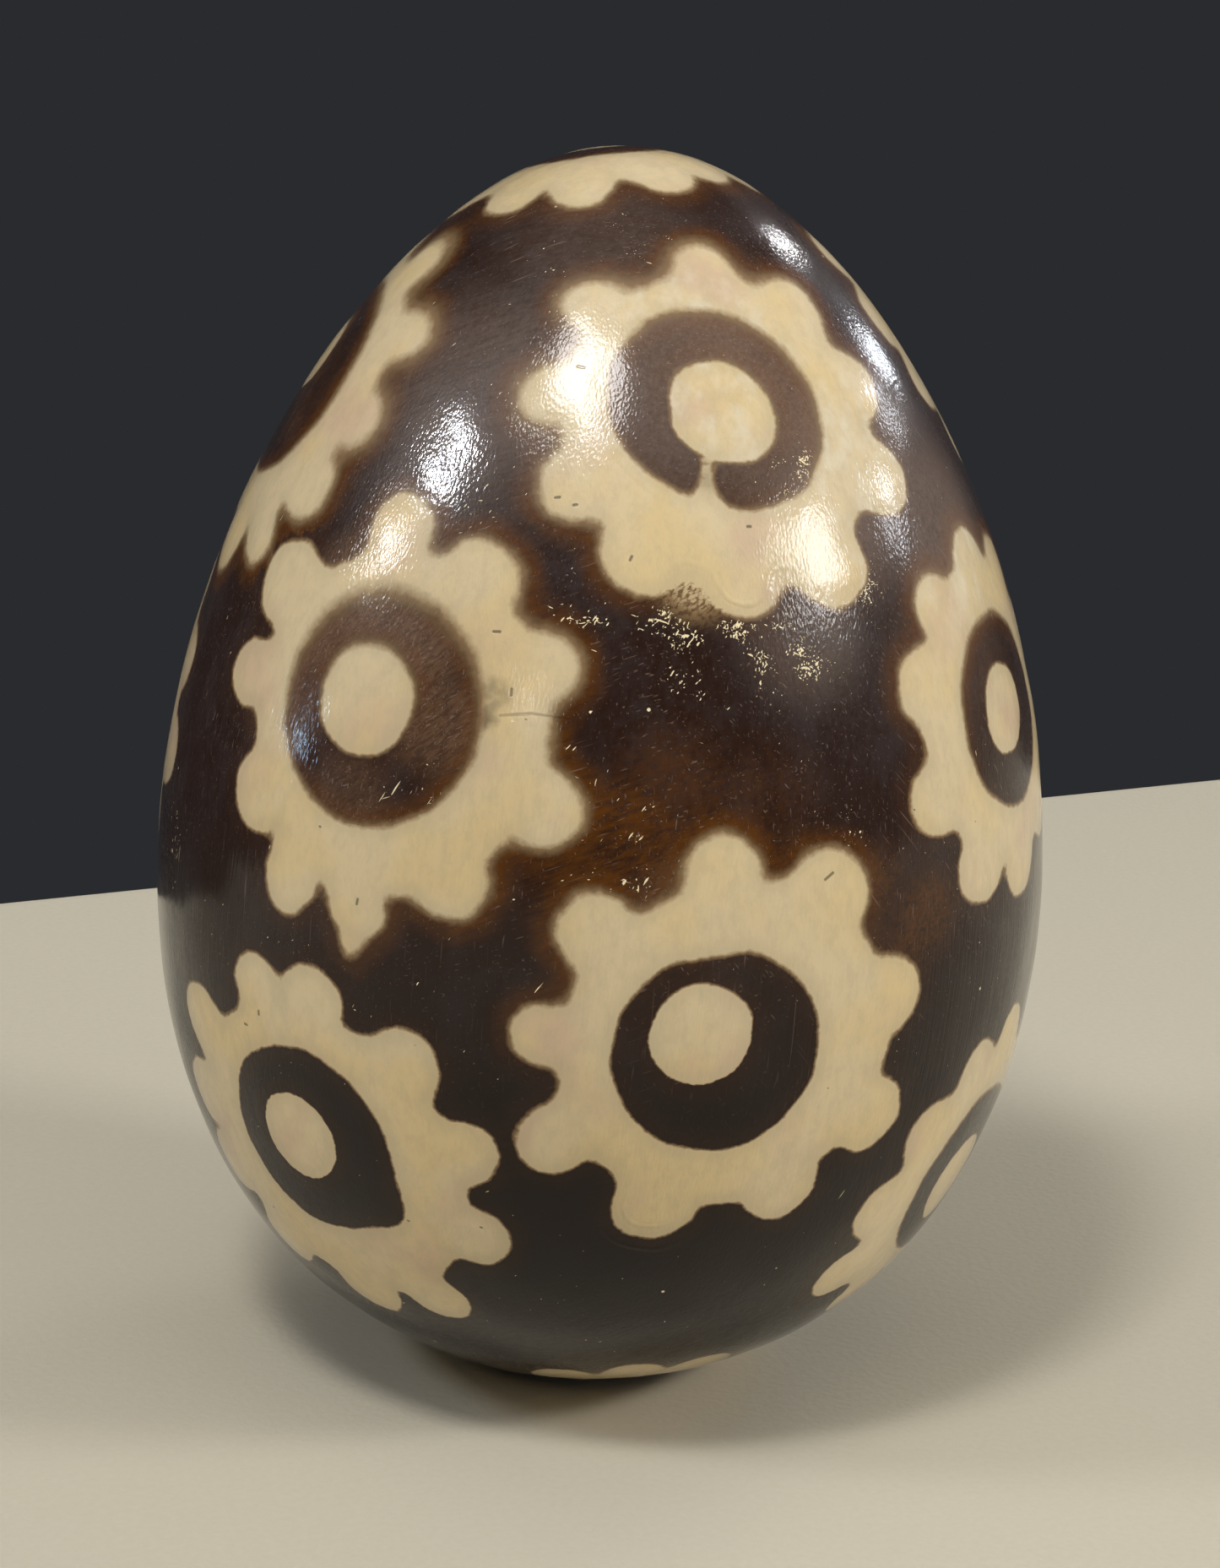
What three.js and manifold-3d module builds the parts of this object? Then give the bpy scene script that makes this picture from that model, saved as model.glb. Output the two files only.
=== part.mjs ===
// A blown goose egg, wax-resist dyed: a cream shell under a dark dye coat that is left open in lobed
// flowers, each with a dark ring and a cream centre dot. It stands on its blunt end, weighted inside.
// Millimetres, +Z up. The origin is the centre of the small flat that it stands on; the front is -Y.
import * as THREE from 'three';
import Module from 'manifold-3d';
import { mergeVertices } from 'three/addons/utils/BufferGeometryUtils.js';

const wasm = await Module();
wasm.setup();

// Driving dimensions.
const HEIGHT = 88; // from the flat foot to the apex
const BLUNT_RADIUS = 31.2; // half the width at the middle of the length
const TAPER = 0.169; // how much fuller the blunt half is than the pointed one
const FULLNESS = 0.015; // how much fuller both ends are than an ellipse's
const NOSE = 0.045; // how late the pointed end draws in
const DYE_THICKNESS = 0.15;
const DYE_GAP = 0.1; // between the dye coat and the shell
const SHELL_THICKNESS = 0.6;
const FOOT_RUB = 0.25; // depth rubbed off the blunt pole to make the flat foot
const MEMBRANE_GAP = 0.1;
const MEMBRANE_THICKNESS = 0.15;
const BLOW_HOLE_RADIUS = { upper: 1.2, lower: 1.6 };
const PLUG_CLEARANCE = 0.15;
const PLUG_LENGTH = 1.6;
const PLUG_RECESS = 0.35; // how far the lower plug stays above the foot
const BALLAST_GAP = 0.25;
const BALLAST_TOP = 11; // height of the cast ballast's level top
const BALLAST_WELL = 3; // radius of the hollow that the lower plug stands in

// Facets.
const SIDES = 32; // round the axis
const BANDS = 16; // from pole to pole
const INNER_SIDES = SIDES / 2; // round the membrane and the ballast
const RING_SIDES = 16;
const PLUG_SIDES = 12;

// The outer surface: z and radius follow one angle t, 0 at the blunt pole and PI at the apex.
const SHELL_INSET = DYE_THICKNESS + DYE_GAP;
const POLE = -(SHELL_INSET + FOOT_RUB); // z of the outer surface's blunt pole, had it not been rubbed
const LENGTH = HEIGHT - POLE;

function meridian(t, inset = 0) {
  const c = Math.cos(t);
  const s = Math.sin(t);
  const swell = 1 + TAPER * c + FULLNESS * c * c + NOSE * c * c * c;
  const slope = TAPER + 2 * FULLNESS * c + 3 * NOSE * c * c;
  const point = new THREE.Vector2(BLUNT_RADIUS * s * swell, POLE + (LENGTH / 2) * (1 - c));
  const outward = new THREE.Vector2((LENGTH / 2) * s, -BLUNT_RADIUS * (c * swell - s * s * slope));
  return point.addScaledVector(outward.normalize(), -inset);
}

function angleAtHeight(z) {
  return Math.acos(THREE.MathUtils.clamp(1 - (2 * (z - POLE)) / LENGTH, -1, 1));
}

// The angle at which the meridian has a given radius, between a pole and the middle of the egg.
function angleAtRadius(radius, inset, from, to) {
  let [near, far] = [from, to];
  for (let i = 0; i < 40; i++) {
    const middle = (near + far) / 2;
    if (meridian(middle, inset).x < radius) near = middle;
    else far = middle;
  }
  return (near + far) / 2;
}

// The angle at which the lower half of an inset meridian reaches a given height.
function angleAtFlat(z, inset) {
  let [low, high] = [0, Math.PI / 2];
  for (let i = 0; i < 40; i++) {
    const middle = (low + high) / 2;
    if (meridian(middle, inset).y < z) low = middle;
    else high = middle;
  }
  return (low + high) / 2;
}

// A meridian arc at a given inset, with the shared facet bands between its own two ends.
function arc(inset, from, to) {
  const CLOSE = 0.05; // a band nearer to an end than this is left out
  const points = [meridian(from, inset)];
  for (let i = 1; i < BANDS; i++) {
    const t = (Math.PI * i) / BANDS;
    if (t > from + CLOSE && t < to - CLOSE) points.push(meridian(t, inset));
  }
  points.push(meridian(to, inset));
  return points;
}

// Turns a closed outline of (radius, z) points round the Z axis.
function turned(outline, sides = SIDES) {
  const geometry = new THREE.LatheGeometry([...outline, outline[0]], sides);
  return geometry.rotateX(Math.PI / 2);
}

function solidOf(geometry) {
  const plain = geometry.clone();
  plain.deleteAttribute('normal');
  plain.deleteAttribute('uv');
  const merged = mergeVertices(plain, 1e-5);
  return new wasm.Manifold(new wasm.Mesh({
    numProp: 3,
    vertProperties: new Float32Array(merged.attributes.position.array),
    triVerts: new Uint32Array(merged.index.array),
  }));
}

function geometryOf(solid) {
  const mesh = solid.getMesh();
  const geometry = new THREE.BufferGeometry();
  geometry.setAttribute('position', new THREE.BufferAttribute(mesh.vertProperties, 3));
  geometry.setIndex(new THREE.BufferAttribute(mesh.triVerts, 1));
  geometry.computeVertexNormals();
  return geometry;
}

// The flowers. azimuth is in degrees from the front towards +X, height in mm. Inside a flower, x runs
// to the right and y up the egg, seen from outside. hub, ring and dot are [x, y, radius]: the cream
// field without its petals, the dark ring's outer edge and the cream dot inside it. A petal is
// [direction in degrees, reach, width], anticlockwise from the right.
const DRAWN_FLOWERS = [
  {
    name: 'upper_front',
    azimuth: 18,
    height: 73.7,
    hub: [0.6, -0.5, 11.1],
    ring: [0.3, 0.3, 7],
    dot: [0.3, 0.2, 3.6],
    breakAt: [245, 263],
    petals: [
      [85, 13.1, 5], [49, 13.3, 5.8], [15, 14, 5.4], [343, 15.4, 5.6], [304, 15.4, 6],
      [273, 13.9, 5.4], [237, 13.7, 5.8], [203, 13.2, 5.4], [166, 13.3, 5.4], [128, 13.3, 5],
    ],
  },
  {
    name: 'upper_left',
    azimuth: -82,
    height: 71.5,
    hub: [0, 0, 11.2],
    ring: [-0.9, 0.3, 7.6],
    dot: [-2.9, 1.9, 3],
    petals: [
      [74, 14.3, 5.2], [38, 14.2, 5], [5, 13.5, 5.4], [335, 14.1, 5.8], [306, 14.6, 4.8],
      [277, 14.7, 5.4], [242, 13.6, 5.2], [208, 13.4, 5], [174, 13.6, 5.4], [140, 13.4, 5],
      [107, 13.6, 5],
    ],
  },
  {
    name: 'middle_left',
    azimuth: -33,
    height: 54.7,
    hub: [1.8, -1.2, 11.6],
    ring: [0.9, -0.6, 7.5],
    dot: [0, 0, 3.8],
    petals: [
      [92, 14, 5.2], [56, 13.9, 6.4], [21, 15.1, 5.6], [341, 17, 5.8], [308, 16, 5.6],
      [277, 15.9, 5], [252, 15.9, 4.8], [224, 13.8, 6], [180, 13.6, 4.8], [145, 14.3, 6.2],
    ],
  },
  {
    name: 'middle_right',
    azimuth: 66,
    height: 52.8,
    hub: [0, 0, 10.7],
    ring: [0.6, -0.2, 6.6],
    dot: [0.3, -0.1, 3.2],
    petals: [
      [87, 12.8, 5.8], [125, 12.8, 5], [158, 12.7, 5.8], [201, 13.4, 5.6], [239, 14, 5.6],
      [274, 13.4, 5.6], [311, 13.4, 5.4], [346, 13.6, 5.4], [20, 13.2, 5.2], [53, 13.4, 5.2],
    ],
  },
  {
    name: 'lower_front',
    azimuth: 13,
    height: 34.9,
    hub: [2.3, -1.2, 11.7],
    ring: [1.3, -1.4, 7.1],
    dot: [0, 0, 3.5],
    petals: [
      [84, 13.5, 5.8], [46, 15.5, 6.8], [5, 16.7, 6.2], [330, 17.9, 5.8], [299, 16.5, 5.4],
      [261, 15.8, 6.2], [221, 14.8, 5], [182, 12.6, 4.4], [136, 12.7, 5.6],
    ],
  },
  {
    name: 'lower_left',
    azimuth: -40,
    height: 23.7,
    hub: [1.2, -1.6, 11.6],
    ring: [0.6, -0.4, 7.1],
    dot: [-0.2, -0.2, 3.3],
    petals: [
      [79, 13.2, 5.6], [107, 13, 4.8], [154, 14.3, 5.6], [38, 14.4, 5.6], [4, 15.5, 5],
      [334, 16.4, 5.2], [300, 17.4, 4.6], [276, 16.4, 5.4], [243, 15.6, 5], [214, 14.8, 5],
      [186, 14.4, 5],
    ],
  },
  {
    name: 'lower_right',
    azimuth: 66,
    height: 18.6,
    hub: [0, 0, 10.7],
    ring: [0.3, 0.1, 6.8],
    dot: [-0.2, -0.2, 3.5],
    petals: [
      [78, 13.1, 5.6], [111, 12.4, 5.4], [146, 12.5, 5.6], [181, 12.8, 5.6], [214, 14.1, 5.2],
      [250, 13.6, 5.4], [285, 13.4, 5.2], [320, 13.6, 5.4], [355, 13.4, 5.2], [38, 13.4, 5.6],
    ],
  },
  {
    name: 'top',
    azimuth: -143,
    height: 87.4,
    hub: [0, 0, 9.6],
    ring: [0, 0, 5.2],
    dot: [0.2, 0, 2.4],
    petals: [
      [14, 12, 5], [45, 12.3, 5], [81, 11.6, 5.4], [109, 10.9, 4.6], [136, 12, 4.8],
      [166, 11.8, 5], [196, 12, 5], [228, 11.8, 5.2], [262, 12, 5.2], [295, 11.8, 5],
      [330, 11.8, 5.4],
    ],
  },
  {
    name: 'foot',
    azimuth: 40,
    height: POLE + 0.005,
    hub: [-0.5, 1, 12.7],
    ring: [0, 0, 9.8],
    dot: [0, 0, 7.2],
    petals: [
      [50, 13.9, 5], [18, 13.8, 5], [345, 13.6, 5], [310, 13.4, 5], [275, 13.8, 5.2],
      [240, 13.6, 5], [207, 13.6, 5], [178, 14, 5], [154, 15, 5], [134, 18.6, 5],
      [118, 20.2, 4.8], [102, 20.4, 5], [86, 17, 5], [68, 14.6, 5],
    ],
  },
];

// The flowers round the back are plainer: their petals are evenly spaced and only their reach varies.
const PLAIN_FLOWERS = [
  ['upper_right', 113, 75.2, 11, 12.3],
  ['upper_back', -168, 69.5, 10, 12.4],
  ['middle_side', -99, 47.5, 10, 13],
  ['middle_back_right', 129, 48.5, 10, 13],
  ['middle_back_left', -163, 43.5, 11, 12.8],
  ['lower_back_right', 128, 20.5, 10, 12.8],
  ['lower_back_left', -165, 15.5, 10, 12.6],
  ['lower_side', -103, 18, 10, 12.8],
];

function plainFlower([name, azimuth, height, count, reach]) {
  const petals = [];
  for (let i = 0; i < count; i++) {
    petals.push([(360 * i) / count + (azimuth % 30), reach + 0.5 * Math.sin(i * 2.4 + azimuth), 5.2]);
  }
  const hub = [0, 0, reach - 2.5];
  return { name, azimuth, height, hub, ring: [0.5, -0.4, 6.8], dot: [0, 0, 3.5], petals };
}

const FLOWERS = [...DRAWN_FLOWERS, ...PLAIN_FLOWERS.map(plainFlower)];

function spot(t, azimuth) {
  const at = meridian(t);
  const a = THREE.MathUtils.degToRad(azimuth);
  return new THREE.Vector3(at.x * Math.sin(a), -at.x * Math.cos(a), at.y);
}

function outwardAt(point) {
  const t = angleAtHeight(point.z);
  const away = meridian(t, -1).sub(meridian(t));
  const a = Math.atan2(point.x, -point.y);
  return new THREE.Vector3(away.x * Math.sin(a), -away.x * Math.cos(a), away.y);
}

// A flower's own axes at its centre on the egg.
function frameOf(flower) {
  const centre = spot(angleAtHeight(flower.height), flower.azimuth);
  const out = outwardAt(centre);
  const right = new THREE.Vector3(0, 0, 1).cross(out).normalize();
  return { centre, out, right, up: new THREE.Vector3().crossVectors(out, right) };
}

// The point of the outer surface that lies `reach` away from a flower's centre, in a direction.
function onEgg(frame, direction, reach) {
  const along = frame.right.clone()
    .multiplyScalar(Math.cos(direction))
    .addScaledVector(frame.up, Math.sin(direction));
  const at = (dip) => frame.centre.clone()
    .addScaledVector(along, reach * Math.cos(dip))
    .addScaledVector(frame.out, -reach * Math.sin(dip));
  let [outside, inside] = [-0.1, 1.3];
  for (let i = 0; i < 40; i++) {
    const middle = (outside + inside) / 2;
    const p = at(middle);
    if (Math.hypot(p.x, p.y) > meridian(angleAtHeight(p.z)).x) outside = middle;
    else inside = middle;
  }
  return at((outside + inside) / 2);
}

// How far a ray from the flower's centre runs before it leaves a circle for good.
function leavesCircle(direction, x, y, radius) {
  const along = x * Math.cos(direction) + y * Math.sin(direction);
  const squared = radius * radius - (x * x + y * y - along * along);
  return squared < 0 ? 0 : along + Math.sqrt(squared);
}

function petalEdge(flower, direction) {
  let reach = leavesCircle(direction, ...flower.hub);
  for (const [degrees, tip, width] of flower.petals) {
    const a = THREE.MathUtils.degToRad(degrees);
    const middle = tip - width / 2;
    reach = Math.max(reach, leavesCircle(direction, middle * Math.cos(a), middle * Math.sin(a), width / 2));
  }
  return reach;
}

// Each petal gives its rounded tip's two sides, and the gap to the next petal gives its floor's two ends.
function petalOutline(flower, frame) {
  const SHARES = [0.16, 0.38, 0.62, 0.84]; // of the way from one tip to the next
  const tips = flower.petals
    .map(([degrees]) => THREE.MathUtils.degToRad((degrees + 720) % 360))
    .sort((a, b) => a - b);
  const points = [];
  tips.forEach((tip, i) => {
    const next = i + 1 < tips.length ? tips[i + 1] : tips[0] + 2 * Math.PI;
    for (const share of SHARES) {
      const direction = tip + (next - tip) * share;
      points.push(onEgg(frame, direction, petalEdge(flower, direction)));
    }
  });
  return points;
}

// A solid that cuts a flower's window out of the dye coat, straight in along the flower's axis.
function windowCutter(flower) {
  const DEPTH = 3;
  const frame = frameOf(flower);
  const rim = petalOutline(flower, frame);
  const vertices = [];
  for (const side of [DEPTH, -DEPTH]) {
    vertices.push(frame.centre.clone().addScaledVector(frame.out, side));
    for (const point of rim) vertices.push(point.clone().addScaledVector(frame.out, side));
  }
  const faces = [];
  const under = rim.length + 1;
  for (let i = 0; i < rim.length; i++) {
    const [a, b] = [i + 1, ((i + 1) % rim.length) + 1];
    faces.push([0, a, b], [under, under + b, under + a]);
    faces.push([a, under + a, under + b], [a, under + b, b]);
  }
  return meshOf(vertices, faces);
}

function meshOf(vertices, faces) {
  const geometry = new THREE.BufferGeometry().setFromPoints(vertices);
  geometry.setIndex(faces.flat());
  geometry.computeVertexNormals();
  return geometry;
}

// A dark ring, as thick as the dye coat, worked out round the dot's centre. One with a break in it
// stops at the break's two sides.
function ringPatch(flower) {
  const frame = frameOf(flower);
  const [ringX, ringY, ringRadius] = flower.ring;
  const [dotX, dotY, dotRadius] = flower.dot;
  const [start, end] = flower.breakAt ? [flower.breakAt[1], flower.breakAt[0] + 360] : [0, 360];
  const stations = flower.breakAt ? RING_SIDES + 1 : RING_SIDES;
  const section = []; // round one cross-section: out to in along the top, and back underneath
  const vertices = [];
  for (let i = 0; i < stations; i++) {
    const direction = THREE.MathUtils.degToRad(start + ((end - start) * i) / RING_SIDES);
    const outer = leavesCircle(direction, ringX - dotX, ringY - dotY, ringRadius);
    const top = [0, 0.5, 1].map((share) => {
      const radius = outer + (dotRadius - outer) * share;
      const [x, y] = [dotX + radius * Math.cos(direction), dotY + radius * Math.sin(direction)];
      return onEgg(frame, Math.atan2(y, x), Math.hypot(x, y));
    });
    const bottom = top.map((point) => point.clone().addScaledVector(outwardAt(point), -DYE_THICKNESS));
    section.push([...top, ...bottom.reverse()]);
  }
  const corners = section[0].length;
  section.forEach((points) => vertices.push(...points));
  const faces = [];
  for (let i = 0; i < RING_SIDES; i++) {
    const a = corners * i;
    const b = corners * ((i + 1) % stations);
    for (let k = 0; k < corners; k++) {
      const next = (k + 1) % corners;
      faces.push([a + k, b + k, b + next], [a + k, b + next, a + next]);
    }
  }
  if (flower.breakAt) {
    const last = corners * RING_SIDES;
    for (const [p, q, r] of [[0, 1, 4], [0, 4, 5], [1, 2, 3], [1, 3, 4]]) {
      faces.push([p, q, r], [last + p, last + r, last + q]);
    }
  }
  return meshOf(vertices, faces);
}

function lowerHoleAngle(inset) {
  return angleAtRadius(BLOW_HOLE_RADIUS.lower, inset, 0, Math.PI / 2);
}

function upperHoleAngle(inset) {
  return angleAtRadius(BLOW_HOLE_RADIUS.upper, inset, Math.PI, Math.PI / 2);
}

function shell() {
  const thick = SHELL_INSET + SHELL_THICKNESS;
  const footEdge = angleAtFlat(0, SHELL_INSET);
  const outer = arc(SHELL_INSET, footEdge, upperHoleAngle(SHELL_INSET));
  const inner = arc(thick, lowerHoleAngle(thick), upperHoleAngle(thick));
  return turned([new THREE.Vector2(BLOW_HOLE_RADIUS.lower, 0), ...outer, ...inner.reverse()]);
}

const MEMBRANE_OUTSIDE = SHELL_INSET + SHELL_THICKNESS + MEMBRANE_GAP;
const MEMBRANE_INSIDE = MEMBRANE_OUTSIDE + MEMBRANE_THICKNESS;

function shellMembrane() {
  const [outside, inside] = [MEMBRANE_OUTSIDE, MEMBRANE_INSIDE]
    .map((inset) => arc(inset, lowerHoleAngle(inset), upperHoleAngle(inset)));
  return turned([...outside, ...inside.reverse()], INNER_SIDES);
}

// Cast into the blunt end: it fills the membrane up to a level top, round a well for the lower plug.
function ballast() {
  const inset = MEMBRANE_INSIDE + BALLAST_GAP;
  const wellTop = PLUG_RECESS + PLUG_LENGTH + BALLAST_GAP;
  const bottom = angleAtRadius(BALLAST_WELL, inset, 0, Math.PI / 2);
  const side = arc(inset, bottom, angleAtFlat(BALLAST_TOP, inset));
  const middle = [new THREE.Vector2(0, BALLAST_TOP), new THREE.Vector2(0, wellTop)];
  return turned([...side, ...middle, new THREE.Vector2(BALLAST_WELL, wellTop)], INNER_SIDES);
}

// A wax plug in a blow hole, with eased ends.
function plug(holeRadius, bottom) {
  const ease = 0.3;
  const radius = holeRadius - PLUG_CLEARANCE;
  const top = bottom + PLUG_LENGTH;
  return turned([
    new THREE.Vector2(0, bottom),
    new THREE.Vector2(radius - ease, bottom),
    new THREE.Vector2(radius, bottom + ease),
    new THREE.Vector2(radius, top - ease),
    new THREE.Vector2(radius - ease, top),
    new THREE.Vector2(0, top),
  ], PLUG_SIDES);
}

function dyeGround() {
  // Its ends lie inside the top and foot flowers' windows, where nothing of it is left.
  const ends = [angleAtRadius(8, 0, 0, Math.PI / 2), angleAtRadius(3, 0, Math.PI, Math.PI / 2)];
  let coat = solidOf(turned([...arc(0, ...ends), ...arc(DYE_THICKNESS, ...ends).reverse()]));
  for (const flower of FLOWERS) coat = coat.subtract(solidOf(windowCutter(flower)));
  return geometryOf(coat);
}

const finishes = {
  eggshell: { color: 0xd8c498, roughness: 0.28 },
  membrane: { color: 0xe9e2d2, roughness: 0.7 },
  plaster: { color: 0xdedbd2, roughness: 0.9 },
  beeswax: { color: 0xc69a45, roughness: 0.5 },
  dye: { color: 0x33261d, roughness: 0.22 },
};

const egg = new THREE.Group();

function add(name, geometry, finish) {
  const material = new THREE.MeshStandardMaterial({ ...finishes[finish], metalness: 0 });
  const mesh = new THREE.Mesh(geometry, material);
  mesh.name = name;
  egg.add(mesh);
}

add('shell', shell(), 'eggshell');
add('shell_membrane', shellMembrane(), 'membrane');
add('ballast', ballast(), 'plaster');
add('lower_plug', plug(BLOW_HOLE_RADIUS.lower, PLUG_RECESS), 'beeswax');
const upperPlugBottom = HEIGHT - SHELL_INSET - PLUG_CLEARANCE - PLUG_LENGTH;
add('upper_plug', plug(BLOW_HOLE_RADIUS.upper, upperPlugBottom), 'beeswax');
add('dye_ground', dyeGround(), 'dye');
for (const flower of FLOWERS) add(`dye_ring_${flower.name}`, ringPatch(flower), 'dye');

export default egg;
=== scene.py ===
"""A blown goose egg, wax-resist dyed and varnished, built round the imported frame.

The egg's skin is one dense surface, cut along the dye's edges: the cream shell keeps what lies in the
flowers, and the dark ground and each flower's ring are thin coats of their own that lie in it.
The shape is worked out in millimetres and leaves make_mesh in metres.
"""

import math

import bpy
import numpy as np
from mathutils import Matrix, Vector


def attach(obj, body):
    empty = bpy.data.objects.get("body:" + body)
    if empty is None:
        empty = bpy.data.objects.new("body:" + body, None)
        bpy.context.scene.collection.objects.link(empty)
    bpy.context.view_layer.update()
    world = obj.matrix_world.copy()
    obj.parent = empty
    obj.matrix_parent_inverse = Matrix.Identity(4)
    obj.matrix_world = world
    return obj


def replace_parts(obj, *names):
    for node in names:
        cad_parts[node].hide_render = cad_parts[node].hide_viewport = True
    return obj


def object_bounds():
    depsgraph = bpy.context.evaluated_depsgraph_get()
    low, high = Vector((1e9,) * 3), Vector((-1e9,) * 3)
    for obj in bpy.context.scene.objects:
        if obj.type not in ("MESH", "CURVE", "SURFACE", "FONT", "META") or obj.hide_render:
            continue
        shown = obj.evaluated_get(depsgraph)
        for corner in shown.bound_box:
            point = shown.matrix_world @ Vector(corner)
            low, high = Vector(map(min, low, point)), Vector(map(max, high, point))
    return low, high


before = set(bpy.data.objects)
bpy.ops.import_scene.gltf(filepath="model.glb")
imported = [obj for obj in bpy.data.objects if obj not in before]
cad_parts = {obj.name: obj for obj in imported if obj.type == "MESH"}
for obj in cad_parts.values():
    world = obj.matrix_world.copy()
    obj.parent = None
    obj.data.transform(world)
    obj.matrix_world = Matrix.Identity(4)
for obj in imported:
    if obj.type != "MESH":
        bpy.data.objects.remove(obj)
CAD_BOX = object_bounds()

MM = 0.001

# The outer surface, as in the CAD: z and radius follow one angle, 0 at the blunt pole and pi at the apex.
TAPER = 0.169
FULLNESS = 0.015
NOSE = 0.045
DYE_THICKNESS = 0.15
SHELL_INSET = 0.25  # the dye, and the gap under it in the CAD
FOOT_RUB = 0.25  # the depth rubbed off the blunt pole
SHELL_THICKNESS = 0.6
LOWER_HOLE = 1.6
UPPER_HOLE = 1.2
POLE = -(SHELL_INSET + FOOT_RUB)
LENGTH = CAD_BOX[1].z / MM - POLE
GRAIN = 0.5  # the skin's facets
INNER_GRAIN = 2.5
DEEP = 8.0  # a depth well away from the dye's edge
USUAL_BLUR = 0.3


def swell(c):
    """How much wider than an ellipse the egg is where the angle's cosine is c."""
    return 1 + TAPER * c + FULLNESS * c**2 + NOSE * c**3


ANGLES = np.linspace(0, math.pi, 4001)
BLUNT_RADIUS = CAD_BOX[1].x / MM / np.max(np.sin(ANGLES) * swell(np.cos(ANGLES)))


def meridian(t, inset=0.0):
    """The radius and z at angle t, and the outward direction's two parts."""
    c, s = np.cos(t), np.sin(t)
    slope = TAPER + 2 * FULLNESS * c + 3 * NOSE * c**2
    radius = BLUNT_RADIUS * s * swell(c)
    z = POLE + LENGTH / 2 * (1 - c)
    away = LENGTH / 2 * s
    rise = -BLUNT_RADIUS * (c * swell(c) - s**2 * slope)
    size = np.hypot(away, rise)
    away, rise = away / size, rise / size
    return radius - inset * away, z - inset * rise, away, rise


def angle_at_height(z):
    return math.acos(max(-1.0, min(1.0, 1 - 2 * (z - POLE) / LENGTH)))


def on_axis(radius, z, azimuth):
    """The point at an azimuth in radians from the front towards +X."""
    return np.stack([radius * np.sin(azimuth), -radius * np.cos(azimuth), z + 0 * azimuth], axis=-1)


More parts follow.
